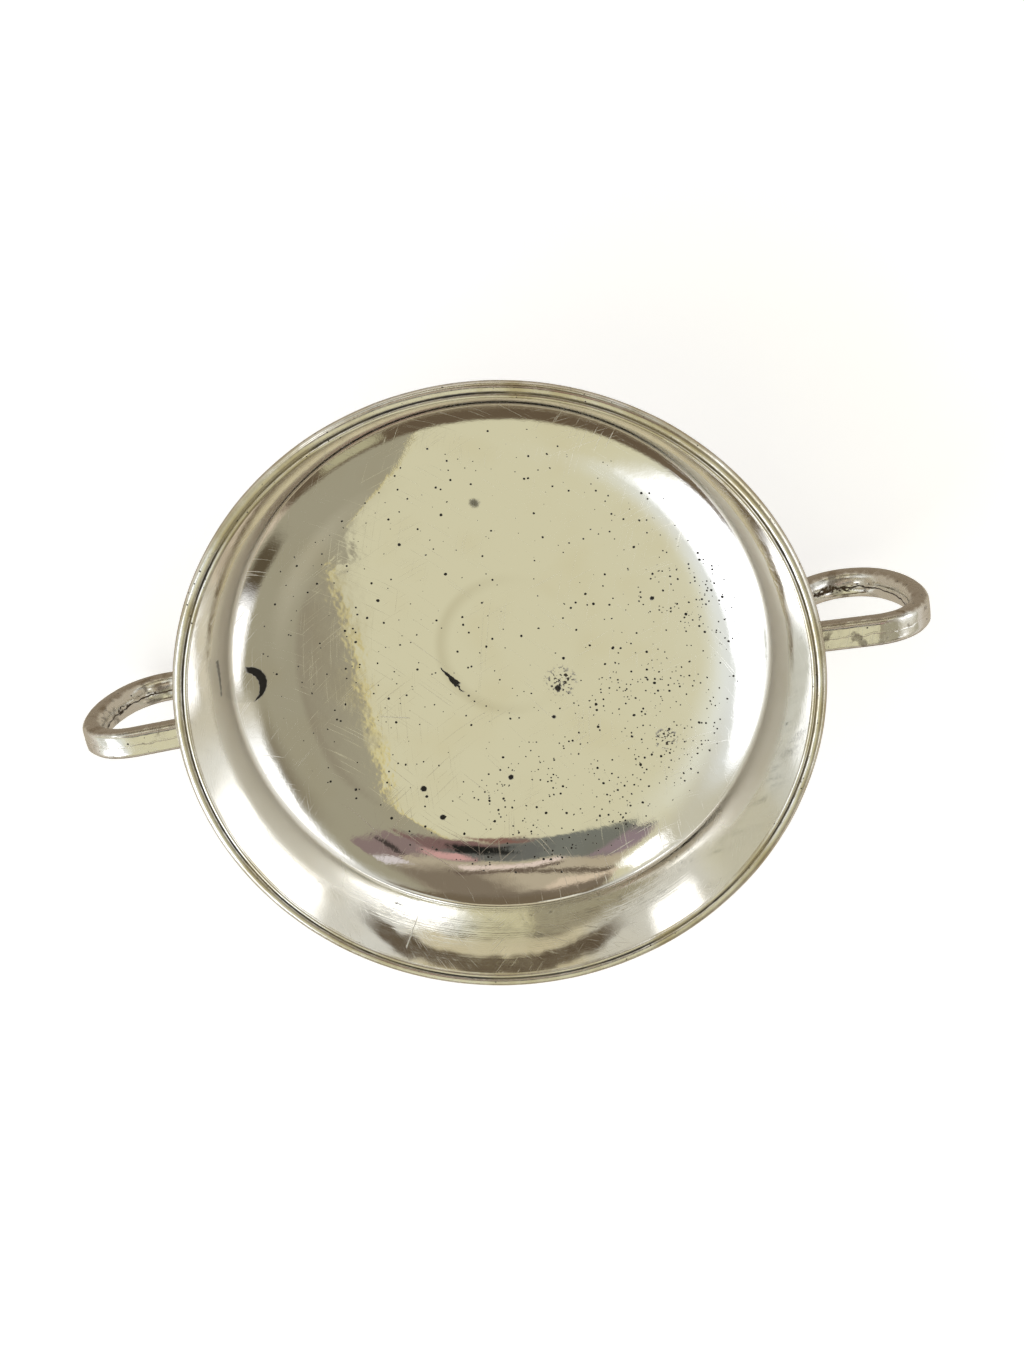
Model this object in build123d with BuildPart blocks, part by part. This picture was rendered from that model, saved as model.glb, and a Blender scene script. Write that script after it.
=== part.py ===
from build123d import *
import math
import os

# A round, two-handled silver dish: a raised bowl with a reeded rim wire, two strap handles
# and a low trumpet foot. Millimetres, +Z up. The origin is the centre of the foot's standing
# face, and the handles lie along X.

# Bowl, raised from one sheet
sheet = 1.1
floor_height = 17.0  # inside of the well, at its middle
well_radius = 310.0  # slightly dished floor
well_slope = 9.0  # degrees, where the cove begins
cove_radius = 38.5
cove_slope = 35.0
ridge_radius = 2.5  # bend between the cove and the straight brim
brim_slope = 74.5
lip_height = 49.6

# Rim wire: a round bead outside the lip, and a thin reed on top of it
bead_wire = 1.4  # wire radius
bead_ring = 73.6  # radius of the wire's centre line
bead_height = 49.0
reed_wire = 0.6
reed_ring = 71.9
reed_height = 49.7

# Handles: a cast strap, flat and bevelled outside and rounded inside
strap_width = 7.0
strap_outer = 2.8  # from the route to the flat outer face
strap_inner = 2.7  # from the route to the crown of the rounded inner face
strap_bevel = 1.0
route_start = 66.0  # radius inside the bowl's wall where the strap's route begins
right_root_height = 37.5
left_root_height = 34.4  # the left handle is soldered on a little lower
upper_rise = 5.4  # degrees, the upper strap's slope
upper_length = 22.5
shoulder_radius = 10.8
shoulder_turn = 86.0
back_radius = 25.0
back_turn = 44.0
heel_radius = 12.6
heel_turn = 87.0
lower_length = 34.0

# Foot: a spun trumpet on a half-round base wire
foot_sheet = 1.0
foot_neck = 17.5  # outer radius below the top flange
foot_flange = 19.0
foot_top = 16.6  # before the flange is dressed to the bowl
foot_flare = 13.6  # radius of the trumpet's outer curve
foot_edge_height = 2.4  # top of the foot's outer edge
foot_edge_radius = 31.6
base_wire = 1.5
base_ring = 32.4
base_wire_height = 1.25


def dish_body(growth):
    """Solid up to the lip, with its skin a distance `growth` outside the bowl's inner face."""
    with BuildPart() as body:
        with BuildSketch(Plane.XZ):
            with BuildLine():
                well = JernArc((0, floor_height - growth), (1, 0), well_radius + growth, well_slope)
                cove = JernArc(well @ 1, well % 1, cove_radius + growth, cove_slope - well_slope)
                ridge = JernArc(cove @ 1, cove % 1, ridge_radius + growth, brim_slope - cove_slope)
                brim_length = (lip_height - (ridge @ 1).Y) / math.sin(math.radians(brim_slope))
                brim = PolarLine(ridge @ 1, brim_length, brim_slope)
                Polyline(brim @ 1, (0, lip_height), well @ 0)
            make_face()
        revolve(axis=Axis.Z)
    return body.part


def strap_handle(root_height):
    """Handle on the +X side, cut to the bowl's outer skin at both roots."""
    with BuildLine(Plane.XZ) as route:
        upper = PolarLine((route_start, root_height), upper_length, upper_rise)
        shoulder = JernArc(upper @ 1, upper % 1, shoulder_radius, -shoulder_turn)
        back = JernArc(shoulder @ 1, shoulder % 1, back_radius, -back_turn)
        heel = JernArc(back @ 1, back % 1, heel_radius, -heel_turn)
        PolarLine(heel @ 1, lower_length, direction=heel % 1)
    with BuildPart() as handle:
        root_plane = Plane(route.line @ 0, x_dir=(0, 1, 0), z_dir=route.line % 0)
        with BuildSketch(root_plane):
            with BuildLine():
                half = strap_width / 2
                flat = half - strap_bevel
                crown = ThreePointArc((-half, 0), (0, -strap_inner), (half, 0))
                Polyline(
                    crown @ 1,
                    (half, strap_outer - strap_bevel),
                    (flat, strap_outer),
                    (-flat, strap_outer),
                    (-half, strap_outer - strap_bevel),
                    crown @ 0,
                )
            make_face()
        sweep(path=route.line)
        add(dish_body(sheet), mode=Mode.SUBTRACT)
    return handle.part


with BuildPart() as bowl:
    add(dish_body(sheet))
    add(dish_body(0), mode=Mode.SUBTRACT)

with BuildPart() as rim_wire:
    with BuildSketch(Plane.XZ):
        with Locations((bead_ring, bead_height)):
            Circle(bead_wire)
        with Locations((reed_ring, reed_height)):
            Circle(reed_wire)
    revolve(axis=Axis.Z)
    add(bowl.part, mode=Mode.SUBTRACT)

with BuildPart() as right_handle:
    add(strap_handle(right_root_height))

with BuildPart() as left_handle:
    add(mirror(strap_handle(left_root_height), about=Plane.YZ, mode=Mode.PRIVATE))

with BuildPart() as foot:
    flare_centre = (foot_neck + foot_flare, foot_edge_height + foot_flare)
    outer_start = math.degrees(math.asin((flare_centre[1] - foot_top + foot_sheet) / foot_flare))
    inner_start = math.degrees(math.asin((flare_centre[1] - foot_top) / (foot_flare + foot_sheet)))
    with BuildSketch(Plane.XZ):
        with BuildLine():
            outside = CenterArc(flare_centre, foot_flare, 180 + outer_start, 90 - outer_start)
            inside = CenterArc(flare_centre, foot_flare + foot_sheet, 180 + inner_start, 90 - inner_start)
            Polyline(
                outside @ 1,
                (foot_edge_radius, foot_edge_height),
                (foot_edge_radius, foot_edge_height - foot_sheet),
                inside @ 1,
            )
            Polyline(
                inside @ 0,
                (foot_flange, foot_top),
                (foot_flange, foot_top - foot_sheet),
                outside @ 0,
            )
        make_face()
    revolve(axis=Axis.Z)
    add(dish_body(sheet), mode=Mode.SUBTRACT)

with BuildPart() as foot_wire:
    with BuildSketch(Plane.XZ):
        with Locations((base_ring, base_wire_height)):
            Circle(base_wire)
    revolve(axis=Axis.Z)
    split(bisect_by=Plane.XY, keep=Keep.TOP)
    add(foot.part, mode=Mode.SUBTRACT)

pieces = {
    "bowl": bowl,
    "rim_wire": rim_wire,
    "right_handle": right_handle,
    "left_handle": left_handle,
    "foot": foot,
    "foot_wire": foot_wire,
}

os.makedirs("parts", exist_ok=True)
for name, piece in pieces.items():
    piece.part.label = name
    export_step(piece.part, f"parts/{name}.step")
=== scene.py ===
import math

import bpy
from mathutils import Matrix, Vector, noise


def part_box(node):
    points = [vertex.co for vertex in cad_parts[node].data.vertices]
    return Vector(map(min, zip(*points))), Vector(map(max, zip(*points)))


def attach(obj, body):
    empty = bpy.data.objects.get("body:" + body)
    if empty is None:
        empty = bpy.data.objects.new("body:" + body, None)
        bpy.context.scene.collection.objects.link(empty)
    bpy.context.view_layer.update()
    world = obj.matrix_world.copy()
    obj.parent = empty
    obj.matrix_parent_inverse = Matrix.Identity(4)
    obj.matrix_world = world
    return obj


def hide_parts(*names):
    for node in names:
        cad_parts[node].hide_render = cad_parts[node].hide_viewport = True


# A two-handled silver dish on a trumpet foot. The frame gives the places of the pieces.
# Everything here is in millimetres until a mesh is written, and Blender holds metres.
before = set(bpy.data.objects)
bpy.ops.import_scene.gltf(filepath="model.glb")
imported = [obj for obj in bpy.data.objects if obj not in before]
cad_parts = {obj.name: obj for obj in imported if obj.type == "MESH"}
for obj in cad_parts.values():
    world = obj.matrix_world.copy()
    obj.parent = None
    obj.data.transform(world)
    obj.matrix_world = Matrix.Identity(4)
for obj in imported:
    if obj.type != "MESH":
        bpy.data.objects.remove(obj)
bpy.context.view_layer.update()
MM = 0.001


def node_box(name):
    low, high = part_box(name)
    return low / MM, high / MM


# ---------------------------------------------------------------- sizes, as in the CAD model
SHEET = 1.1
WELL_RADIUS, WELL_SLOPE = 310.0, 9.0
COVE_RADIUS, COVE_SLOPE = 38.5, 35.0
RIDGE_RADIUS, BRIM_SLOPE = 2.5, 74.5
BEAD_WIRE = 1.4
RIM_RADIUS = 75.0
REED_WIRE = 0.6
STRAP_WIDTH = 7.0
STRAP_OUTER = 2.8
STRAP_INNER = 2.7
STRAP_BEVEL = 1.0
ROUTE_START = 66.0
UPPER_RISE, UPPER_LENGTH = 5.4, 22.5
SHOULDER_RADIUS, SHOULDER_TURN = 10.8, 86.0
BACK_RADIUS, BACK_TURN = 25.0, 44.0
HEEL_RADIUS, HEEL_TURN = 12.6, 87.0
LOWER_LENGTH = 34.0
RIGHT_ROOT_HEIGHT = 37.5
LEFT_ROOT_HEIGHT = 34.4

bowl_low, bowl_high = node_box("bowl")
rim_high = node_box("rim_wire")[1]

FLOOR_HEIGHT = bowl_low.z + SHEET
LIP_HEIGHT = bowl_high.z
BEAD_RING = RIM_RADIUS - BEAD_WIRE
BEAD_HEIGHT = rim_high.z - BEAD_WIRE


# ---------------------------------------------------------------- camera
def make_camera():
    """High over the dish's +Y side, looking steeply down, with +Y towards the picture's top."""
    azimuth, elevation, roll = (math.radians(a) for a in (171.5, 67.74, 178.9))
    distance, shift_right, shift_up = 400.0, 2.7, 4.9
    back = Vector((math.sin(azimuth) * math.cos(elevation),
                   -math.cos(azimuth) * math.cos(elevation),
                   math.sin(elevation)))
    level = Vector((math.cos(azimuth), math.sin(azimuth), 0))
    upright = back.cross(level)
    right = level * math.cos(roll) + upright * math.sin(roll)
    up = upright * math.cos(roll) - level * math.sin(roll)
    target = Vector((0, 0, BEAD_HEIGHT))
    place = target + back * distance + right * shift_right + up * shift_up
    data = bpy.data.cameras.new("camera")
    data.sensor_width = 36.0
    data.lens = 45.97
    data.clip_start = 0.01
    data.clip_end = 20.0
    camera = bpy.data.objects.new("camera", data)
    bpy.context.scene.collection.objects.link(camera)
    camera.matrix_world = Matrix((
        (right.x, up.x, back.x, place.x * MM),
        (right.y, up.y, back.y, place.y * MM),
        (right.z, up.z, back.z, place.z * MM),
        (0, 0, 0, 1)))
    bpy.context.scene.camera = camera


make_camera()


# ---------------------------------------------------------------- mesh helpers
def add_object(name, points, faces, smooth_angle=40):
    mesh = bpy.data.meshes.new(name)
    mesh.from_pydata([tuple(c * MM for c in p) for p in points], [], faces)
    mesh.validate()
    mesh.update()
    mesh.shade_smooth()
    obj = bpy.data.objects.new(name, mesh)
    bpy.context.scene.collection.objects.link(obj)
    if smooth_angle:
        mesh.set_sharp_from_angle(angle=math.radians(smooth_angle))
    return obj


def add_layer(obj, name, values):
    """One number for each vertex, for the materials to read."""
    layer = obj.data.attributes.new(name, "FLOAT", "POINT")
    layer.data.foreach_set("value", values)


def arc(centre, radius, start, end, steps):
    """Points on a circle in the (r, z) plane, angles in degrees, both ends included."""
    points = []
    for i in range(steps + 1):
        a = math.radians(start + (end - start) * i / steps)
        points.append((centre[0] + radius * math.cos(a), centre[1] + radius * math.sin(a)))
    return points


def line(start, end, steps):
    """Points from start to end, without start."""
    return [(start[0] + (end[0] - start[0]) * i / steps, start[1] + (end[1] - start[1]) * i / steps)
            for i in range(1, steps + 1)]


def lathe(name, profile, segments, shape=None, smooth_angle=40):
    """Turns a closed (r, z) loop round Z. Points at r = 0 become one pole each. `shape` moves a point."""
    points, rings = [], []
    for r, z in profile:
        if r < 1e-6:
            rings.append([len(points)])
            points.append(shape((0.0, 0.0, z)) if shape else (0.0, 0.0, z))
            continue
        ring = []
        for i in range(segments):
            a = 2 * math.pi * i / segments
            p = (r * math.cos(a), r * math.sin(a), z)
            ring.append(len(points))
            points.append(shape(p) if shape else p)
        rings.append(ring)
    faces = []
    for k, ring in enumerate(rings):
        other = rings[(k + 1) % len(rings)]
        if len(ring) == 1 and len(other) == 1:
            continue
        for i in range(segments):
            j = (i + 1) % segments
            if len(ring) == 1:
                faces.append((ring[0], other[j], other[i]))
            elif len(other) == 1:
                faces.append((ring[i], ring[j], other[0]))
            else:
                faces.append((ring[i], ring[j], other[j], other[i]))
    return add_object(name, points, faces, smooth_angle)


# ---------------------------------------------------------------- bowl
def dish_face(growth, well=40, cove=26, ridge=10, brim=14):
    """Points (r, z) from the middle of the well up to the lip, `growth` outside the inner face."""
    points = [(0.0, FLOOR_HEIGHT - growth)]
    heading = 0.0
    bends = ((WELL_RADIUS, WELL_SLOPE, well),
             (COVE_RADIUS, COVE_SLOPE, cove),
             (RIDGE_RADIUS, BRIM_SLOPE, ridge))
    for radius, slope, steps in bends:
        r, z = points[-1]
        a = math.radians(heading)
        centre = (r - (radius + growth) * math.sin(a), z + (radius + growth) * math.cos(a))
        points += arc(centre, radius + growth, heading - 90, slope - 90, steps)[1:]
        heading = slope
    r, z = points[-1]
    rise = LIP_HEIGHT - z
    points += line((r, z), (r + rise / math.tan(math.radians(BRIM_SLOPE)), LIP_HEIGHT), brim)
    return points


INNER_FACE = dish_face(0.0)
LIP_RADIUS = INNER_FACE[-1][0]


def hammer(p, scale, seed):
    return noise.noise(Vector((p[0] / scale + seed, p[1] / scale - seed, p[2] / scale)))


RING_TRACE_RADIUS = 17.0
RING_TRACE_CENTRE = (3.0, 1.8)


def hand_work(p):
    """The small unevenness left by the raising hammer and the ring that the foot's solder left."""
    x, y, z = p
    r = math.hypot(x, y)
    swell = 0.035 * hammer(p, 34.0, 3.1) + 0.010 * hammer(p, 14.0, 7.7)
    from_trace = math.hypot(x - RING_TRACE_CENTRE[0], y - RING_TRACE_CENTRE[1]) - RING_TRACE_RADIUS
    trace = 0.0008 * math.exp(-(from_trace / 1.3) ** 2)
    steep = min(max((r - 56.0) / 9.0, 0.0), 1.0)
    push = swell * steep
    if r < 1:
        return (x, y, z + swell)
    return (x + x / r * push, y + y / r * push, z + swell * (1 - steep) + trace)


bowl = lathe("dish_bowl", INNER_FACE + dish_face(SHEET)[::-1], 288, hand_work, smooth_angle=50)


# ---------------------------------------------------------------- rim wire
def circle_meet(c1, r1, c2, r2, upper):
    """One of the two points where two circles in the (r, z) plane cross."""
    dx, dz = c2[0] - c1[0], c2[1] - c1[1]
    d = math.hypot(dx, dz)
    a = (d * d + r1 * r1 - r2 * r2) / (2 * d)
    h = math.sqrt(r1 * r1 - a * a) * (1 if upper else -1)
    return (c1[0] + (a * dx - h * dz) / d, c1[1] + (a * dz + h * dx) / d)


BEAD = (BEAD_RING, BEAD_HEIGHT)
REED = (LIP_RADIUS + REED_WIRE, LIP_HEIGHT + 0.1)
GROOVE = circle_meet(BEAD, BEAD_WIRE, REED, REED_WIRE, upper=False)


def rim_profile():
    """Bead outside the lip, thin reed over it, with a groove between them."""
    at_bead = math.degrees(math.atan2(GROOVE[1] - BEAD[1], GROOVE[0] - BEAD[0]))
    at_reed = math.degrees(math.atan2(GROOVE[1] - REED[1], GROOVE[0] - REED[0]))
    profile = arc(REED, REED_WIRE, 190, at_reed, 14)
    profile += arc(BEAD, BEAD_WIRE, at_bead, -165, 40)[1:]
    profile += [(LIP_RADIUS + SHEET * 0.8, LIP_HEIGHT - 0.2)]
    return profile


def rim_wear(p):
    x, y, z = p
    r = math.hypot(x, y)
    push = 0.05 * hammer(p, 9.0, 1.3) - 0.05
    return (x + x / r * push, y + y / r * push, z + 0.04 * hammer(p, 6.0, 5.2) - 0.04)


rim_wire = lathe("reeded_rim_wire", rim_profile(), 360, rim_wear)


# ---------------------------------------------------------------- foot
FOOT_SHEET = 1.0
FOOT_NECK = 17.5
FOOT_FLANGE = 19.0
FOOT_FLARE = 13.6
FOOT_TOP = 16.6
FOOT_EDGE_HEIGHT = 2.4
FOOT_EDGE_RADIUS = 31.6
BASE_WIRE = 1.5
BASE_RING = 32.4
BASE_WIRE_HEIGHT = 1.25


def foot_profile():
    centre = (FOOT_NECK + FOOT_FLARE, FOOT_EDGE_HEIGHT + FOOT_FLARE)
    rise_out = math.degrees(math.asin((centre[1] - FOOT_TOP + FOOT_SHEET) / FOOT_FLARE))
    bowl_under = FLOOR_HEIGHT - SHEET + FOOT_NECK ** 2 / (2 * WELL_RADIUS)
    rise_in = math.degrees(math.asin((centre[1] - bowl_under) / (FOOT_FLARE + FOOT_SHEET)))
    profile = arc(centre, FOOT_FLARE, 180 + rise_out, 270, 24)
    profile += line(profile[-1], (FOOT_EDGE_RADIUS, FOOT_EDGE_HEIGHT), 2)
    profile += [(FOOT_EDGE_RADIUS, FOOT_EDGE_HEIGHT - FOOT_SHEET)]
    profile += arc(centre, FOOT_FLARE + FOOT_SHEET, 270, 180 + rise_in, 24)
    profile += [(FOOT_FLANGE, bowl_under + 0.05), (FOOT_FLANGE - 0.1, FOOT_TOP - FOOT_SHEET + 0.1)]
    return profile


foot = lathe("trumpet_foot", foot_profile(), 192)


def base_profile():
    tilt = math.degrees(math.asin(BASE_WIRE_HEIGHT / BASE_WIRE))
    return arc((BASE_RING, BASE_WIRE_HEIGHT), BASE_WIRE, -tilt, 180 + tilt, 26)


foot_wire = lathe("foot_base_wire", base_profile(), 240)


# ---------------------------------------------------------------- handles
def handle_route(root_height):
    """(point, tangent) pairs in the (r, z) plane: a rise, three arcs turning down, and a run back."""
    r, z, heading = ROUTE_START, root_height, UPPER_RISE
    route = []

    def run(length, steps):
        nonlocal r, z
        a = math.radians(heading)
        for _ in range(steps):
            r += length / steps * math.cos(a)
            z += length / steps * math.sin(a)
            route.append(((r, z), heading))

    def bend(radius, turn, steps):
        nonlocal r, z, heading
        for _ in range(steps):
            after = heading - turn / steps
            a, b = math.radians(heading), math.radians(after)
            r += radius * (math.sin(a) - math.sin(b))
            z += radius * (math.cos(b) - math.cos(a))
            heading = after
            route.append(((r, z), heading))

    route.append(((r, z), heading))
    run(UPPER_LENGTH, 26)
    bend(SHOULDER_RADIUS, SHOULDER_TURN, 30)
    bend(BACK_RADIUS, BACK_TURN, 24)
    bend(HEEL_RADIUS, HEEL_TURN, 30)
    run(LOWER_LENGTH, 34)
    return route


OUTER_FACE = dish_face(SHEET)


def skin_gap(r, z):
    """Distance outside the bowl's outer skin, negative inside it."""
    nearest = None
    for a, b in zip(OUTER_FACE, OUTER_FACE[1:]):
        run_r, run_z = b[0] - a[0], b[1] - a[1]
        length = math.hypot(run_r, run_z)
        t = min(max(((r - a[0]) * run_r + (z - a[1]) * run_z) / length ** 2, 0), 1)
        away = math.hypot(r - a[0] - run_r * t, z - a[1] - run_z * t)
        if nearest is None or away < abs(nearest):
            outside = (r - a[0]) * run_z - (z - a[1]) * run_r > 0
            nearest = away if outside else -away
    return nearest


def strap_section():
    """(across, outward) points: flat bevelled outer face with soft corners, and a rounded inner face."""
    half = STRAP_WIDTH / 2
    bevel = STRAP_BEVEL
    flat = half - bevel
    points = []
    for i in range(9):
        t = -1 + 2 * i / 8
        points.append((-flat * t, STRAP_OUTER - 0.12 * abs(t) ** 3))
    points += [(-flat - 0.25, STRAP_OUTER - 0.3), (-half + 0.12, STRAP_OUTER - bevel + 0.08),
               (-half, STRAP_OUTER - bevel - 0.3), (-half, 0.7)]
    for i in range(15):
        a = math.pi * i / 14
        points.append((-half * math.cos(a), -STRAP_INNER * math.sin(a)))
    points += [(half, 0.7), (half, STRAP_OUTER - bevel - 0.3),
               (half - 0.12, STRAP_OUTER - bevel + 0.08), (flat + 0.25, STRAP_OUTER - 0.3)]
    return points


def strap_handle(name, side, root_height):
    section = strap_section()
    clear = 1.6  # the plain part of the strap starts this far from the bowl's skin
    stations = [((r, z), h) for (r, z), h in handle_route(root_height) if skin_gap(r, z) > clear]
    count = len(section)

    def place(centre, heading, across, outward, swell):
        a = math.radians(heading)
        r = centre[0] - math.sin(a) * outward * swell
        z = centre[1] + math.cos(a) * outward * swell
        return (r, across * swell, z)

    def reach(point, heading, sign, gap):
        """Slides a point along the strap until it is `gap` from the bowl's skin."""
        a = math.radians(heading)
        step = (-math.cos(a) * sign, -math.sin(a) * sign)
        near, far = 0.0, 8.0
        for _ in range(24):
            t = (near + far) / 2
            r = math.hypot(point[0] + step[0] * t, point[1])
            if skin_gap(r, point[2] + step[1] * t) > gap:
                near = t
            else:
                far = t
        return (point[0] + step[0] * near, point[1], point[2] + step[1] * near)

    rings, from_root = [], []
    root_gaps = (-0.5, 0.0, 0.18, 0.45, 0.9)
    for gap in root_gaps:
        swell = 1 + 0.16 * math.exp(-max(gap, 0) / 0.35)
        c, h = stations[0]
        rings.append([reach(place(c, h, s[0], s[1], swell), h, 1, gap) for s in section])
        from_root.append(max(gap, 0))
    for c, h in stations:
        from_root.append(clear + min(math.dist(c, stations[0][0]), math.dist(c, stations[-1][0])))
        rings.append([place(c, h, s[0], s[1], 1) for s in section])
    for gap in reversed(root_gaps):
        swell = 1 + 0.16 * math.exp(-max(gap, 0) / 0.35)
        c, h = stations[-1]
        rings.append([reach(place(c, h, s[0], s[1], swell), h, -1, gap) for s in section])
        from_root.append(max(gap, 0))

    inset = 0.03  # keeps the worn surface inside the CAD model's box
    points, faces = [], []
    for ring in rings:
        for r, y, z in ring:
            wear = 0.05 * hammer((r, y, z), 5.0, 2.4)
            points.append((side * (r + wear - inset), y, z + wear))
    for k in range(len(rings) - 1):
        for i in range(count):
            j = (i + 1) % count
            a, b = k * count, (k + 1) * count
            faces.append((a + i, b + i, b + j, a + j) if side > 0 else (a + i, a + j, b + j, b + i))
    start = tuple(range(count))
    end = tuple(range(len(points) - count, len(points)))
    faces.append(start if side > 0 else start[::-1])
    faces.append(end[::-1] if side > 0 else end)
    obj = add_object(name, points, faces, 40)
    depth = [min(max(-across[1] / STRAP_INNER, 0.0), 1.0) for across in section]
    add_layer(obj, "inside", depth * len(rings))
    add_layer(obj, "from_root", [d for d in from_root for _ in section])
    return obj


right_handle = strap_handle("strap_handle_right", 1, RIGHT_ROOT_HEIGHT)
left_handle = strap_handle("strap_handle_left", -1, LEFT_ROOT_HEIGHT)


# ---------------------------------------------------------------- materials
def tone(r, g, b):
    """A screen colour, 0 to 255 a channel, as the linear colour Blender works in."""
    def linear(c):
        c /= 255
        return c / 12.92 if c <= 0.04045 else ((c + 0.055) / 1.055) ** 2.4
    return (linear(r), linear(g), linear(b), 1.0)


class Finish:
    """One worn silver finish. Lengths are millimetres on the object, and layers go on in call order."""

    def __init__(self, name, color, roughness):
        self.material = bpy.data.materials.new(name)
        self.material.use_nodes = True
        self.tree = self.material.node_tree
        self.shader = self.tree.nodes["Principled BSDF"]
        self.color, self.metal, self.rough, self.relief = color, 1.0, roughness, None
        self.noises = {}
        self.place = self.vector("SCALE", self.node("TexCoord").outputs["Object"], scale=1000.0)
        self.x, self.y, self.z = self.node("SeparateXYZ", self.place).outputs
        self.radius = self.math("SQRT", self.math("ADD", self.square(self.x), self.square(self.y)))

    def node(self, kind, *values):
        node = self.tree.nodes.new("ShaderNode" + kind)
        for socket, value in zip(node.inputs, values):
            self.feed(socket, value)
        return node

    def feed(self, socket, value):
        if value is None:
            return
        if hasattr(value, "is_output"):
            self.tree.links.new(value, socket)
        else:
            socket.default_value = value

    def math(self, operation, a, b=None):
        node = self.node("Math", a, b)
        node.operation = operation
        return node.outputs[0]

    def square(self, a):
        return self.math("MULTIPLY", a, a)

    def vector(self, operation, a, b=None, scale=None):
        node = self.node("VectorMath", a, b)
        node.operation = operation
        self.feed(node.inputs[3], scale)
        return node.outputs[0]

    def ease(self, value, low, high, start=0.0, end=1.0):
        node = self.node("MapRange", value, low, high, start, end)
        node.interpolation_type = "SMOOTHSTEP"
        return node.outputs[0]

    def both(self, *masks):
        mask = masks[0]
        for other in masks[1:]:
            mask = self.math("MULTIPLY", mask, other)
        return mask

    def either(self, a, b):
        return self.math("MAXIMUM", a, b)

    def noise(self, size, detail=2.0, seed=0.0, place=None):
        """Smooth noise from 0 to 1 with features about `size` across. The same one is made only once."""
        key = (size, detail, seed, place)
        if key in self.noises:
            return self.noises[key]
        start = self.place if place is None else place
        moved = self.vector("ADD", start, (seed * 31.7, seed * -17.3, seed * 11.9))
        node = self.tree.nodes.new("ShaderNodeTexNoise")
        self.feed(node.inputs["Vector"], moved)
        self.feed(node.inputs["Scale"], 1.0 / size)
        self.feed(node.inputs["Detail"], detail)
        self.noises[key] = node.outputs["Fac"]
        return self.noises[key]

    def rag(self, amount):
        """Roughens the edge of a mark by up to about `amount`."""
        return self.math("MULTIPLY", self.math("SUBTRACT", self.noise(0.9, 2.0), 0.5), amount * 2)

    def tint(self, mask, color):
        mix = self.tree.nodes.new("ShaderNodeMix")
        mix.data_type = "RGBA"
        self.feed(mix.inputs[0], mask)
        self.feed(mix.inputs[6], self.color)
        self.feed(mix.inputs[7], color)
        self.color = mix.outputs[2]

    def blend(self, mask, before, after):
        mix = self.tree.nodes.new("ShaderNodeMix")
        for socket, value in zip((mix.inputs[0], mix.inputs[2], mix.inputs[3]), (mask, before, after)):
            self.feed(socket, value)
        return mix.outputs[0]

    def dull(self, mask, roughness):
        self.rough = self.blend(mask, self.rough, roughness)

    def emboss(self, value, height):
        step = self.math("MULTIPLY", value, height)
        self.relief = step if self.relief is None else self.math("ADD", self.relief, step)

    def darken_and_dull(self, mask, color, metal=0.0, roughness=0.7):
        """A dark patch, no longer a mirror: pitting and tarnish, and also painted shade and painted dark
        reflections.
        """
        self.tint(mask, color)
        self.metal = self.blend(mask, self.metal, metal)
        self.dull(mask, roughness)

    def pits(self, spacing, radius, share, color, where=None, seed=0.0):
        """Round pits of mixed sizes at random, in a `share` of cells `spacing` wide."""
        moved = self.vector("ADD", self.place, (seed * 13.1, seed * 7.7, seed * -5.3))
        node = self.tree.nodes.new("ShaderNodeTexVoronoi")
        self.feed(node.inputs["Vector"], moved)
        self.feed(node.inputs["Scale"], 1.0 / spacing)
        away = self.math("MULTIPLY", node.outputs["Distance"], spacing)
        away = self.math("ADD", away, self.rag(radius * 0.9))
        chance, size, _ = self.node("SeparateColor", node.outputs["Color"]).outputs
        limit = self.math("MULTIPLY", self.math("ADD", self.square(size), 0.3), radius * 1.1)
        mask = self.ease(self.math("SUBTRACT", away, limit), radius * 0.45, radius * 0.15)
        keep = self.math("MULTIPLY", share, 1.0 if where is None else where)
        self.darken_and_dull(self.both(mask, self.math("LESS_THAN", chance, keep)), color)

    def stroke(self, start, end, width_start, width_end, ragged=0.3):
        """A mark from one (x, y) to another, seen from above."""
        dx, dy = end[0] - start[0], end[1] - start[1]
        length = math.hypot(dx, dy)
        px, py = self.math("SUBTRACT", self.x, start[0]), self.math("SUBTRACT", self.y, start[1])
        along = self.math("ADD", self.math("MULTIPLY", px, dx / length),
                          self.math("MULTIPLY", py, dy / length))
        across = self.math("SUBTRACT", self.math("MULTIPLY", px, -dy / length),
                           self.math("MULTIPLY", py, -dx / length))
        across = self.math("ADD", across, self.rag(ragged))
        width = self.ease(along, 0.0, length, width_start, width_end)
        side = self.ease(self.math("SUBTRACT", self.math("ABSOLUTE", across), width), 0.06, -0.06)
        inside = self.both(self.ease(along, -0.1, 0.2), self.ease(along, length + 0.2, length - 0.4))
        return self.both(side, inside)

    def spot(self, centre, radius, soft=0.15, ragged=0.3):
        away = self.math("ADD", self.square(self.math("SUBTRACT", self.x, centre[0])),
                         self.square(self.math("SUBTRACT", self.y, centre[1])))
        away = self.math("SQRT", away)
        if ragged:
            away = self.math("ADD", away, self.rag(ragged))
        return self.ease(away, radius + soft, radius - soft)

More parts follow.
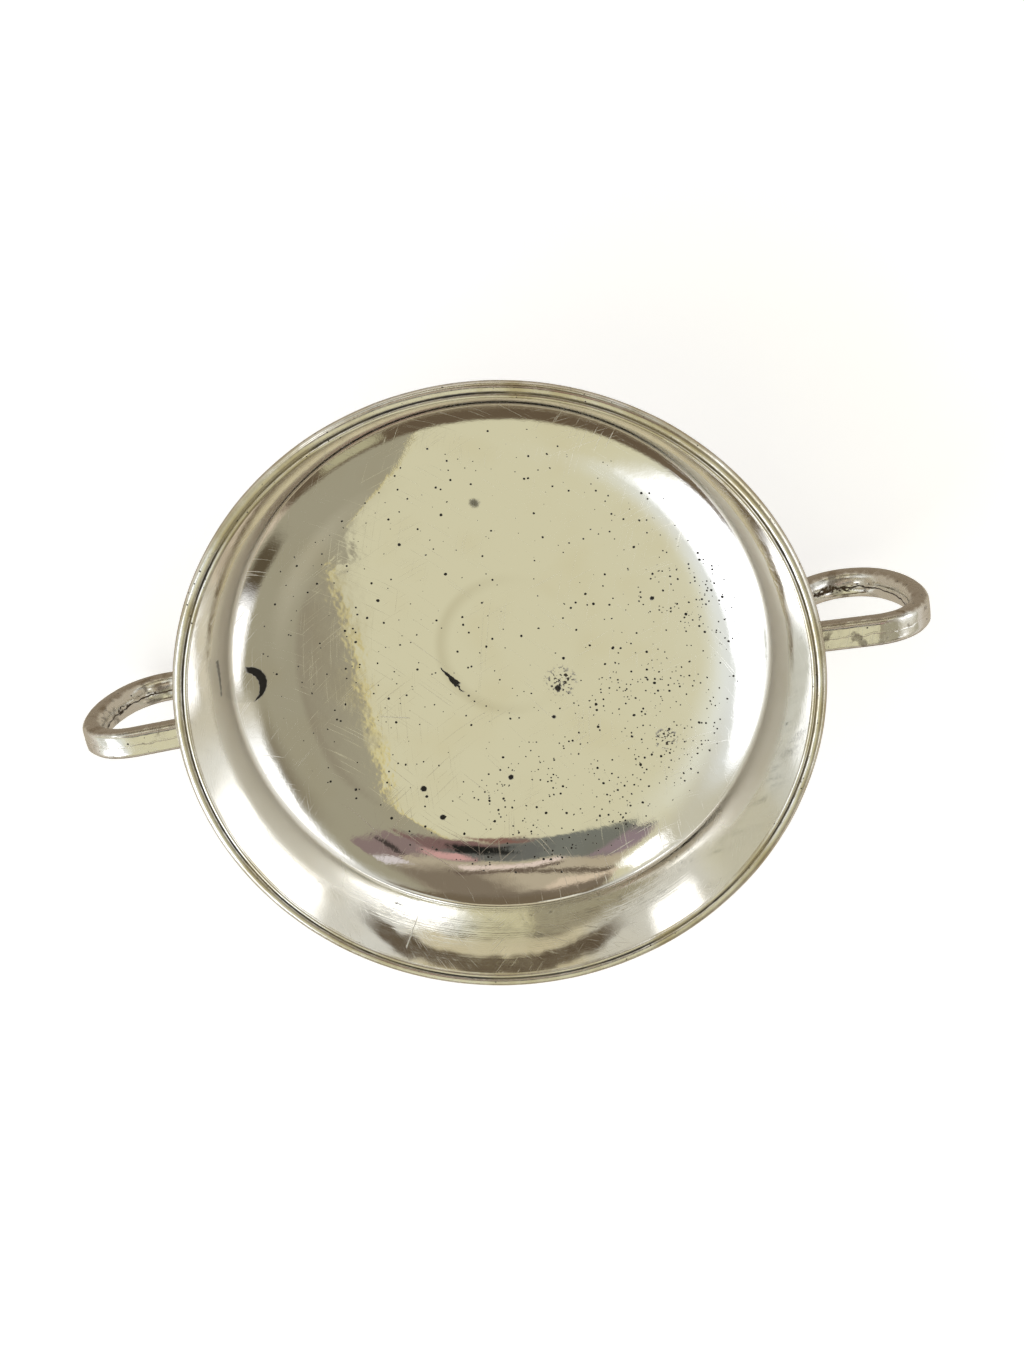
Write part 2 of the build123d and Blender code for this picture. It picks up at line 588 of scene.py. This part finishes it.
    def hairlines(self, angle, width, length, low, high, seed):
        """Fine straight scratches, `angle` degrees from +X, fading in and out along their length."""
        a = math.radians(angle)
        along = self.math("ADD", self.math("MULTIPLY", self.x, math.cos(a)),
                          self.math("MULTIPLY", self.y, math.sin(a)))
        across = self.math("SUBTRACT", self.math("MULTIPLY", self.y, math.cos(a)),
                           self.math("MULTIPLY", self.x, math.sin(a)))
        across = self.math("ADD", across, self.math("MULTIPLY", self.z, 0.8))
        bow = self.math("MULTIPLY", self.noise(30.0, 0.0), 6.0)
        spread = self.node("CombineXYZ", self.math("DIVIDE", along, length / width),
                           self.math("ADD", across, bow), self.math("MULTIPLY", self.z, 0.05)).outputs[0]
        return self.ease(self.noise(width, 0.0, seed, spread), low, high)

    def finish(self):
        for name, value in (("Base Color", self.color), ("Metallic", self.metal), ("Roughness", self.rough)):
            self.feed(self.shader.inputs[name], value)
        if self.relief is not None:
            bump = self.tree.nodes.new("ShaderNodeBump")
            bump.inputs["Distance"].default_value = MM
            self.feed(bump.inputs["Height"], self.relief)
            self.tree.links.new(bump.outputs[0], self.shader.inputs["Normal"])
        return self.material


SILVER = (0.965, 0.955, 0.925, 1)
PIT_AND_DENT_SHADE = (0.012, 0.010, 0.008, 1)
TARNISH = tone(92, 78, 58)


def polished_silver(name, roughness, unevenness=1.0):
    """The ground that every piece shares: smears and the hammer's faint ripple."""
    f = Finish(name, SILVER, roughness)
    smear = f.noise(16.0, 2.0, 1)
    f.tint(f.ease(smear, 0.45, 0.75, 0.0, 0.7), (0.93, 0.90, 0.83, 1))
    f.dull(f.ease(f.noise(6.0, 3.0, 2), 0.45, 0.72), roughness * 2.2)
    f.emboss(f.noise(4.5, 2.0, 3), 0.022 * unevenness)
    return f


def scratch(f, amount=1.0):
    """Three sets of fine hairlines that come and go in patches."""
    patch = f.ease(f.noise(16.0, 2.0, 1), 0.42, 0.58)
    for angle, seed, low, high in ((24, 5, 0.70, 0.78), (-47, 6, 0.71, 0.79), (78, 7, 0.70, 0.79)):
        lines = f.both(f.hairlines(angle, 0.22, 15.0, low, high, seed), patch)
        f.dull(f.math("MULTIPLY", lines, min(0.8 * amount, 1.0)), 0.36)
        patch = f.math("SUBTRACT", 1.0, patch)


def bowl_silver():
    f = polished_silver("silver_bowl_wear_and_painted_light", 0.035)
    well = f.ease(f.radius, 60.0, 54.0)
    brim = f.ease(f.radius, 62.0, 66.0)
    # frosted, faintly grained metal on the cove and the brim
    grain = f.noise(0.35, 1.0, 12)
    sides = f.ease(f.math("ABSOLUTE", f.x), 36.0, 58.0)
    f.dull(f.both(brim, f.ease(f.noise(9.0, 2.0, 13), 0.4, 0.62), f.ease(sides, 0.0, 1.0, 0.4, 1.0)), 0.16)
    ridge = f.both(f.ease(f.radius, 64.0, 64.8), f.ease(f.radius, 68.6, 67.4), sides)
    f.dull(ridge, 0.46)
    f.tint(f.math("MULTIPLY", ridge, 0.55), tone(224, 219, 206))
    f.emboss(f.both(grain, f.ease(f.radius, 46.0, 60.0)), 0.0042)
    f.emboss(f.noise(1.3, 1.0, 11), 0.0035)
    turning = f.node("CombineXYZ", f.radius, f.z, f.math("ARCTAN2", f.y, f.x)).outputs[0]
    rings = f.noise(0.5, 0.0, 14, f.vector("MULTIPLY", turning, (1.0, 1.0, 0.9)))
    f.emboss(f.both(rings, brim), 0.006)
    scratch(f)
    # the ring that the foot's solder left under the well, tinted as painted shade that is faint at +X and
    # grows towards -X
    trace = f.math("SUBTRACT", f.spot(RING_TRACE_CENTRE, RING_TRACE_RADIUS + 1.4, 1.2, 0.0),
                   f.spot(RING_TRACE_CENTRE, RING_TRACE_RADIUS - 1.0, 1.6, 0.0))
    # painted shade: the ring's tint is strongest on its -X side
    left = f.ease(f.x, RING_TRACE_CENTRE[0] + 8.0, RING_TRACE_CENTRE[0] - 14.0, 0.02, 0.26)
    f.tint(f.both(trace, left), tone(190, 180, 160))
    # pitting: fine all over the well, and heavy towards +X and -Y
    patches = f.noise(11.0, 2.0, 16)
    toward_corner = f.math("ADD", f.math("SUBTRACT", f.x, f.y), f.math("MULTIPLY", patches, 40.0))
    heavy = f.ease(toward_corner, 25.0, 85.0)
    patchy = f.both(well, f.ease(patches, 0.42, 0.62, 0.15, 1.0))
    crowd = f.both(heavy, patchy)
    f.pits(0.9, 0.19, 0.70, PIT_AND_DENT_SHADE, f.math("ADD", crowd, f.math("MULTIPLY", well, 0.10)), 17)
    f.pits(1.9, 0.24, 0.80, PIT_AND_DENT_SHADE, f.math("ADD", crowd, f.math("MULTIPLY", well, 0.26)), 18)
    f.pits(5.2, 0.42, 0.30, PIT_AND_DENT_SHADE, patchy, 19)
    # marks with a place of their own
    splinter = f.either(f.stroke((-15.2, -1.2), (-11.6, -6.6), 0.15, 0.85, 0.45),
                        f.stroke((-12.6, -5.4), (-10.6, -8.6), 0.45, 0.1, 0.8))
    marks = splinter
    for place, size in (((12.6, -11.4), 0.75), ((10.4, -18.8), 0.5), ((-2.8, -32.9), 0.65),
                        ((-25.0, -32.0), 0.75), ((-21.6, -40.3), 0.7), ((38.8, 8.9), 0.5)):
        marks = f.either(marks, f.spot(place, size))
    f.darken_and_dull(marks, PIT_AND_DENT_SHADE)
    speckle = f.ease(f.noise(0.8, 2.0, 21), 0.54, 0.60)
    speckled = f.either(f.spot((13.6, -9.6), 3.4, 1.2, 0.8), f.spot((37.2, -28.0), 2.6, 1.0, 0.8))
    f.darken_and_dull(f.both(speckled, speckle), tone(62, 54, 44))
    f.darken_and_dull(f.math("MULTIPLY", f.spot((0.5, 39.6), 1.05, 0.6, 0.6), 0.85), tone(104, 100, 84), 0.6, 0.45)
    # a dent's look painted in: a faintly lighter disc as painted highlight, with a black crescent on its +X
    # edge as painted shade
    dent_painted_highlight = f.spot((-61.2, 5.4), 4.6, 0.25, 0.25)
    f.tint(f.math("MULTIPLY", dent_painted_highlight, 0.15), tone(160, 158, 150))
    beside = f.math("SUBTRACT", 1.0, f.spot((-63.3, 4.6), 4.6, 0.12, 0.35))
    dent_painted_shade = f.both(f.spot((-61.6, 5.3), 4.75, 0.12, 0.2), beside)
    f.darken_and_dull(f.both(dent_painted_shade, f.ease(f.x, -61.2, -60.4)), PIT_AND_DENT_SHADE)
    # a painted reflection of that crescent in the brim
    f.darken_and_dull(f.both(f.stroke((-65.1, 15.9), (-66.4, 6.4), 0.18, 0.10, 0.1), 0.75), tone(84, 76, 62))
    f.dull(f.stroke((-31.0, -59.5), (-33.9, -61.6), 0.10, 0.14, 0.1), 0.5)
    f.dull(f.stroke((-32.0, -11.0), (-25.0, -12.8), 0.08, 0.12, 0.1), 0.5)
    return f.finish()


def wire_silver():
    f = polished_silver("silver_wire_wear_and_painted_reflection", 0.10)
    f.dull(f.ease(f.noise(1.2, 2.0, 31), 0.4, 0.65), 0.26)
    f.emboss(f.noise(0.6, 1.0, 32), 0.012)
    # tarnish in the groove between reed and bead, and a painted dark reflection on the bead's outer
    # underside
    groove_r, groove_z = GROOVE
    away = f.math("ADD", f.square(f.math("SUBTRACT", f.radius, groove_r)),
                  f.square(f.math("SUBTRACT", f.z, groove_z)))
    away = f.math("SUBTRACT", f.math("SQRT", away), f.math("MULTIPLY", f.noise(2.4, 2.0, 33), 0.30))
    f.darken_and_dull(f.math("MULTIPLY", f.ease(away, 0.34, 0.04), 0.94), tone(52, 44, 32), 0.2)
    # painted dark reflection on the outer underside of the bead
    level = f.math("ADD", f.z, f.math("MULTIPLY", f.noise(2.4, 2.0, 33), 1.1))
    bead_underside_painted_reflection = f.ease(level, BEAD_HEIGHT + 1.3, BEAD_HEIGHT + 0.1)
    outside = f.ease(f.radius, BEAD_RING + 0.2, BEAD_RING + 0.9)
    f.darken_and_dull(f.both(bead_underside_painted_reflection, outside, 0.9), tone(92, 80, 58), 0.6, 0.35)
    f.tint(f.ease(f.noise(14.0, 3.0, 35), 0.4, 0.7, 0.0, 0.75), tone(196, 184, 148))
    f.pits(0.9, 0.12, 0.25, tone(60, 52, 40), None, 36)
    return f.finish()


def handle_silver():
    f = polished_silver("silver_handle_wear_and_painted_reflection", 0.10, 1.6)
    inside = f.node("Attribute").outputs["Fac"]
    inside.node.attribute_name = "inside"
    root = f.node("Attribute").outputs["Fac"]
    root.node.attribute_name = "from_root"
    f.dull(f.ease(f.noise(2.0, 2.0, 41), 0.42, 0.66), 0.24)
    f.emboss(f.noise(1.8, 2.0, 42), 0.05)
    scratch(f, 1.3)
    # along the middle of the inner face, a rough, painted dark reflection of the strap's other branch, over
    # a fine casting seam that is also embossed
    drift = f.math("MULTIPLY", f.math("SUBTRACT", f.noise(3.0, 3.0, 43), 0.5), 1.6)
    strip = f.math("ABSOLUTE", f.math("ADD", f.y, drift))
    wide = f.ease(f.noise(7.0, 2.0, 44), 0.46, 0.62, 0.16, 1.1)
    inner_reflection_and_seam = f.ease(f.math("SUBTRACT", strip, wide), 0.12, -0.10)
    torn = f.ease(f.noise(0.8, 4.0, 45), 0.40, 0.56)
    line = f.ease(strip, 0.30, 0.08)
    inner_reflection_and_seam = f.both(f.either(f.both(inner_reflection_and_seam, torn), line), f.ease(inside, 0.55, 0.85))
    # painted reflection: the dark band stands in for the other branch seen in the inner face
    f.darken_and_dull(inner_reflection_and_seam, tone(74, 58, 40), 0.3, 0.6)
    f.emboss(line, -0.06)
    # painted dark reflection of the rim bead at the roots by the solder, then tarnish in patches and on the
    # side faces
    # painted reflection: the strap is darkened near both roots, where it faces the rim bead
    root_painted_reflection = f.math("SUBTRACT", root, f.math("MULTIPLY", f.noise(1.5, 3.0, 46), 2.6))
    f.darken_and_dull(f.ease(root_painted_reflection, 1.6, 0.4), tone(40, 34, 24), 0.45, 0.4)
    blotch = f.both(f.ease(f.noise(3.4, 4.0, 47), 0.52, 0.62), f.ease(f.noise(11.0, 1.0, 48), 0.42, 0.58))
    f.darken_and_dull(f.math("MULTIPLY", blotch, 0.6), tone(96, 80, 56), 0.6, 0.35)
    uneven = f.math("MULTIPLY", f.math("SUBTRACT", f.noise(2.0, 2.0, 41), 0.5), 1.4)
    edge = f.math("ADD", f.math("ABSOLUTE", f.y), uneven)
    f.darken_and_dull(f.math("MULTIPLY", f.ease(edge, 2.7, 3.4), 0.7), tone(134, 112, 80), 0.8, 0.24)
    f.pits(1.5, 0.16, 0.30, tone(50, 42, 32), None, 49)
    return f.finish()


def foot_silver():
    f = polished_silver("silver_foot_worn", 0.09)
    f.dull(f.ease(f.noise(6.0, 3.0, 51), 0.42, 0.66), 0.22)
    rings = f.noise(0.4, 1.0, 52, f.node("CombineXYZ", f.radius, f.z, 0.0).outputs[0])
    f.emboss(rings, 0.010)
    scratch(f)
    level = f.math("ADD", f.z, f.noise(2.0, 3.0, 53))
    f.darken_and_dull(f.math("MULTIPLY", f.ease(level, FOOT_TOP - 1.1, FOOT_TOP + 0.4), 0.85), TARNISH, 0.5, 0.4)
    f.tint(f.ease(f.noise(12.0, 3.0, 54), 0.42, 0.7, 0.0, 0.7), tone(190, 178, 146))
    f.pits(2.0, 0.2, 0.35, PIT_AND_DENT_SHADE, None, 55)
    return f.finish()


for piece, node, slot, material in (
        (bowl, "bowl", "silver_bowl", bowl_silver()),
        (rim_wire, "rim_wire", "silver_wire", wire_silver()),
        (foot, "foot", "silver_foot", foot_silver()),
        (foot_wire, "foot_wire", "silver_wire", bpy.data.materials["silver_wire_wear_and_painted_reflection"]),
        (right_handle, "right_handle", "silver_handle", handle_silver()),
        (left_handle, "left_handle", "silver_handle", bpy.data.materials["silver_handle_wear_and_painted_reflection"])):
    piece.data.materials.append(material)
    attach(piece, "root")
    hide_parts(node)


# ---------------------------------------------------------------- floor
def make_floor():
    """A plain white table. The dish sees it a little duller, and darker towards the dish as a painted
    shadow.
    """
    size = 6000.0
    shade_start, shade_end = 90.0, 420.0  # how far from the dish its darkened reflection runs
    floor = add_object("floor", [(-size, -size, 0), (size, -size, 0), (size, size, 0), (-size, size, 0)],
                       [(0, 1, 2, 3)], 0)
    material = bpy.data.materials.new("pale_floor")
    material.use_nodes = True
    tree = material.node_tree
    shader = tree.nodes["Principled BSDF"]
    shader.inputs["Base Color"].default_value = (0.86, 0.86, 0.87, 1)
    shader.inputs["Roughness"].default_value = 0.9
    shader.inputs["Emission Color"].default_value = (0.97, 0.98, 1, 1)
    shader.inputs["Emission Strength"].default_value = 0.6
    reflected = tree.nodes.new("ShaderNodeEmission")
    away = tree.nodes.new("ShaderNodeVectorMath")
    away.operation = "LENGTH"
    tree.links.new(tree.nodes.new("ShaderNodeTexCoord").outputs["Object"], away.inputs[0])
    # painted shadow: the table that the dish sees grows darker nearer the dish
    shade = tree.nodes.new("ShaderNodeMapRange")
    shade.interpolation_type = "SMOOTHSTEP"
    tree.links.new(away.outputs["Value"], shade.inputs["Value"])
    shade.inputs["From Min"].default_value = shade_start * MM
    shade.inputs["From Max"].default_value = shade_end * MM
    ramp = tree.nodes.new("ShaderNodeMix")
    ramp.data_type = "RGBA"
    tree.links.new(shade.outputs["Result"], ramp.inputs[0])
    ramp.inputs[6].default_value = tone(176, 165, 146)
    ramp.inputs[7].default_value = tone(212, 206, 196)
    tree.links.new(ramp.outputs[2], reflected.inputs["Color"])
    mix = tree.nodes.new("ShaderNodeMixShader")
    tree.links.new(tree.nodes.new("ShaderNodeLightPath").outputs["Is Glossy Ray"], mix.inputs[0])
    tree.links.new(shader.outputs[0], mix.inputs[1])
    tree.links.new(reflected.outputs[0], mix.inputs[2])
    tree.links.new(mix.outputs[0], tree.nodes["Material Output"].inputs["Surface"])
    floor.data.materials.append(material)


make_floor()


# ---------------------------------------------------------------- room light
class Sky:
    """Builds the room as a backdrop of soft-edged rectangles, each given by where it stands."""

    def __init__(self):
        world = bpy.data.worlds.new("room")
        bpy.context.scene.world = world
        world.use_nodes = True
        self.tree = world.node_tree
        self.tree.nodes.clear()
        self.direction = self.tree.nodes.new("ShaderNodeTexCoord").outputs["Generated"]
        self.color = None
        self.wanders = {}
        world.cycles.sampling_method = "NONE"

    def math(self, operation, a, b=None):
        node = self.tree.nodes.new("ShaderNodeMath")
        node.operation = operation
        for i, value in enumerate((a, b)):
            if value is None:
                continue
            if isinstance(value, (int, float)):
                node.inputs[i].default_value = value
            else:
                self.tree.links.new(value, node.inputs[i])
        return node.outputs[0]

    def dot(self, axis):
        node = self.tree.nodes.new("ShaderNodeVectorMath")
        node.operation = "DOT_PRODUCT"
        self.tree.links.new(self.direction, node.inputs[0])
        node.inputs[1].default_value = axis
        return node.outputs["Value"]

    def step(self, value, low, high):
        node = self.tree.nodes.new("ShaderNodeMapRange")
        node.interpolation_type = "SMOOTHSTEP"
        self.tree.links.new(value, node.inputs["Value"])
        node.inputs["From Min"].default_value = low
        node.inputs["From Max"].default_value = high
        return node.outputs["Result"]

    def over(self, color, mask, strength=1.0):
        mix = self.tree.nodes.new("ShaderNodeMix")
        mix.data_type = "RGBA"
        rgb = tuple(c * strength for c in color[:3]) + (1,)
        mix.inputs[7].default_value = rgb
        if self.color is None:
            mix.inputs[6].default_value = rgb
        else:
            self.tree.links.new(self.color, mix.inputs[6])
        if mask is None:
            mix.inputs[0].default_value = 1.0
        else:
            self.tree.links.new(mask, mix.inputs[0])
        self.color = mix.outputs[2]

    def panel(self, bearing, height, width, tall, color, strength=1.0, soft=0.15, ragged=0.0):
        """bearing is degrees from +X towards +Y, height degrees above the horizon; sizes in degrees."""
        b, h = math.radians(bearing), math.radians(height)
        forward = Vector((math.cos(b) * math.cos(h), math.sin(b) * math.cos(h), math.sin(h)))
        level = Vector((-math.sin(b), math.cos(b), 0))
        upright = forward.cross(level)
        facing = self.dot(forward)
        safe = self.math("MAXIMUM", facing, 0.01)
        u, v = (self.math("DIVIDE", self.dot(axis), safe) for axis in (level, upright))
        if ragged:
            v = self.math("ADD", v, self.wander(ragged, 9.0))
        u, v = self.math("ABSOLUTE", u), self.math("ABSOLUTE", v)
        half_u, half_v = math.tan(math.radians(width / 2)), math.tan(math.radians(tall / 2))
        inside_u = self.step(u, half_u * (1 + soft), half_u * (1 - soft))
        inside_v = self.step(v, half_v * (1 + soft), half_v * (1 - soft))
        front = self.math("GREATER_THAN", facing, 0.02)
        mask = self.math("MULTIPLY", self.math("MULTIPLY", inside_u, inside_v), front)
        self.over(color, mask, strength)

    def overhead(self, x, y, width, depth, color, strength=1.0, soft=0.15, turn=0.0, ragged=0.0):
        """A rectangle on a level plane above the dish; sizes are shares of that plane's height."""
        up = self.math("MAXIMUM", self.dot((0, 0, 1)), 0.05)
        c, s = math.cos(math.radians(turn)), math.sin(math.radians(turn))
        sides = []
        for axis, size in (((c, s, 0), width), ((-s, c, 0), depth)):
            centre = x * axis[0] + y * axis[1]
            away = self.math("SUBTRACT", self.math("DIVIDE", self.dot(axis), up), centre)
            if ragged:
                away = self.math("ADD", away, self.wander(ragged, 12.0 if size == width else 9.0))
            edge = soft * min(width, depth) / 2
            sides.append(self.step(self.math("ABSOLUTE", away), size / 2 + edge, size / 2 - edge))
        self.over(color, self.math("MULTIPLY", sides[0], sides[1]), strength)

    def wander(self, amount, scale):
        """Makes an edge ragged, by up to about `amount`."""
        if scale not in self.wanders:
            node = self.tree.nodes.new("ShaderNodeTexNoise")
            self.tree.links.new(self.direction, node.inputs["Vector"])
            node.inputs["Scale"].default_value = scale
            node.inputs["Detail"].default_value = 2.0
            self.wanders[scale] = self.math("SUBTRACT", node.outputs["Fac"], 0.5)
        return self.math("MULTIPLY", self.wanders[scale], amount * 2)

    def finish(self, backdrop):
        """The camera sees a plain pale backdrop; the dish sees the room."""
        nodes, links = self.tree.nodes, self.tree.links
        room, plain = nodes.new("ShaderNodeBackground"), nodes.new("ShaderNodeBackground")
        links.new(self.color, room.inputs["Color"])
        plain.inputs["Color"].default_value = backdrop
        mix, out = nodes.new("ShaderNodeMixShader"), nodes.new("ShaderNodeOutputWorld")
        links.new(nodes.new("ShaderNodeLightPath").outputs["Is Camera Ray"], mix.inputs[0])
        links.new(room.outputs[0], mix.inputs[1])
        links.new(plain.outputs[0], mix.inputs[2])
        links.new(mix.outputs[0], out.inputs["Surface"])


def make_room():
    """A cream room seen in the dish: a darker side, a bright window, furniture and a dark figure."""
    sky = Sky()
    cream, taupe, white = tone(208, 203, 171), tone(158, 152, 130), (1.0, 1.0, 1.0, 1)
    daylight = (0.97, 0.99, 1.03, 1)
    sky.over(cream, None)
    # the darker half of the ceiling, with a yellowish edge
    sky.overhead(10.073, 0, 20, 40, tone(210, 197, 138), soft=0.0003, ragged=0.010)
    sky.overhead(10.080, 0, 20, 40, taupe, soft=0.0003, ragged=0.010)
    sky.overhead(0.082, -0.59, 0.06, 0.10, taupe, soft=0.1, turn=10, ragged=0.008)
    sky.overhead(0.30, -0.75, 0.34, 0.30, tone(172, 166, 144), soft=0.9, turn=20)
    sky.overhead(0.16, -0.36, 0.10, 0.34, tone(146, 138, 118), soft=0.9, turn=-10)
    sky.overhead(1.0, -0.15, 0.5, 0.5, tone(122, 112, 92), soft=0.8, turn=20)
    # window side
    sky.overhead(-0.72, -0.45, 0.6, 1.2, tone(226, 228, 216), soft=0.9)
    sky.panel(165, 28, 40, 60, tone(196, 192, 172), soft=0.3)
    sky.panel(205, 29, 56, 54, tone(226, 229, 226), 1.0, soft=0.35)
    sky.panel(207, 37, 50, 22, daylight, 2.0, soft=0.3, ragged=0.05)
    sky.panel(219, 22, 27, 32, daylight, 2.2, soft=0.3)
    sky.panel(186, 19, 32, 20, tone(203, 203, 193), soft=0.3)
    # low furniture under the cream wall
    sky.panel(266, 12, 70, 16, tone(98, 84, 66), soft=0.2)
    sky.panel(228, 13, 20, 11, tone(108, 94, 76), soft=0.4)
    sky.panel(281, 12, 9, 11, tone(172, 166, 134), soft=0.3)
    sky.panel(305, 27, 13, 11, tone(88, 78, 60), soft=0.4)
    sky.panel(303, 14, 17, 10, tone(205, 190, 168), soft=0.3)
    sky.panel(321, 28.5, 18, 11, white, 1.5, soft=0.45)
    sky.panel(322, 16, 24, 12, tone(212, 205, 186), soft=0.35)
    sky.panel(340, 26, 16, 34, tone(204, 199, 182), soft=0.4)
    # bright side behind the right handle
    sky.panel(7, 27, 46, 40, tone(232, 232, 226), 1.0, soft=0.3, ragged=0.05)
    sky.panel(12, 24, 36, 9, white, 1.9, soft=0.4, ragged=0.08)
    sky.panel(8, 40, 36, 12, white, 1.5, soft=0.5, ragged=0.08)
    sky.panel(46, 22, 30, 48, tone(214, 213, 206), soft=0.3)
    # towards the camera
    sky.panel(82, 24, 48, 50, tone(206, 196, 166), soft=0.3)
    sky.panel(124, 22, 36, 44, tone(208, 206, 196), soft=0.3)
    sky.overhead(0.02, 0.55, 0.86, 0.74, tone(180, 168, 145), soft=0.1, ragged=0.05)
    sky.overhead(-0.26, 0.66, 0.34, 0.22, tone(212, 194, 170), soft=0.2, turn=-20, ragged=0.04)
    sky.overhead(0.26, 0.55, 0.42, 0.52, tone(126, 114, 97), soft=0.4, turn=15, ragged=0.06)
    sky.overhead(0.00, 0.76, 0.84, 0.20, tone(118, 106, 90), soft=0.4, ragged=0.08)
    sky.overhead(-0.18, 0.44, 0.52, 0.045, tone(104, 92, 78), soft=0.6, turn=-35, ragged=0.03)
    sky.overhead(0.04, 0.31, 0.36, 0.040, tone(106, 92, 80), soft=0.6, turn=8, ragged=0.03)
    sky.overhead(0.02, 0.25, 0.30, 0.05, tone(222, 204, 192), soft=0.6, turn=6, ragged=0.03)
    sky.overhead(0.46, 0.30, 0.20, 0.05, tone(212, 204, 204), soft=0.6, turn=25, ragged=0.03)
    sky.panel(82, 13.2, 78, 8.4, tone(86, 75, 60), soft=0.15, ragged=0.04)
    sky.panel(78, 22.9, 66, 4.2, tone(94, 82, 66), soft=0.2, ragged=0.04)
    sky.panel(80, 45, 54, 17, tone(110, 97, 78), soft=0.25, ragged=0.05)
    sky.panel(100, 36, 10, 12, tone(232, 229, 214), soft=0.4)
    sky.panel(57, 38, 12, 12, tone(214, 214, 202), soft=0.4)
    sky.panel(130, 24, 12, 9, white, 1.9, soft=0.4)
    sky.overhead(-0.60, 0.57, 0.20, 0.30, white, 1.7, soft=0.5, turn=40, ragged=0.05)
    # the dark figure over the dish
    sky.overhead(0.32, 0.14, 0.66, 0.13, tone(134, 116, 112), soft=0.2, turn=24, ragged=0.05)
    sky.overhead(-0.19, 0.14, 0.56, 0.20, tone(116, 117, 108), soft=0.12, turn=-40, ragged=0.04)
    sky.overhead(-0.36, 0.29, 0.22, 0.17, tone(142, 126, 130), soft=0.4, turn=-40, ragged=0.05)
    sky.overhead(0.05, 0.07, 0.26, 0.22, tone(104, 104, 98), soft=0.2, ragged=0.04)
    sky.overhead(0.12, 0.00, 0.22, 0.10, tone(122, 96, 92), soft=0.4, turn=24, ragged=0.05)
    sky.overhead(0.04, 0.04, 0.13, 0.10, tone(34, 34, 31), soft=0.4, ragged=0.05)
    sky.overhead(0.16, 0.13, 0.11, 0.08, tone(200, 156, 150), soft=0.5, ragged=0.05)
    sky.overhead(0.36, 0.16, 0.07, 0.09, tone(66, 58, 55), soft=0.4, ragged=0.04)
    sky.overhead(-0.02, -0.09, 0.08, 0.07, tone(128, 96, 86), soft=0.5, ragged=0.04)
    sky.finish((0.97, 0.97, 0.97, 1))


make_room()
bpy.context.scene.view_settings.view_transform = "Standard"
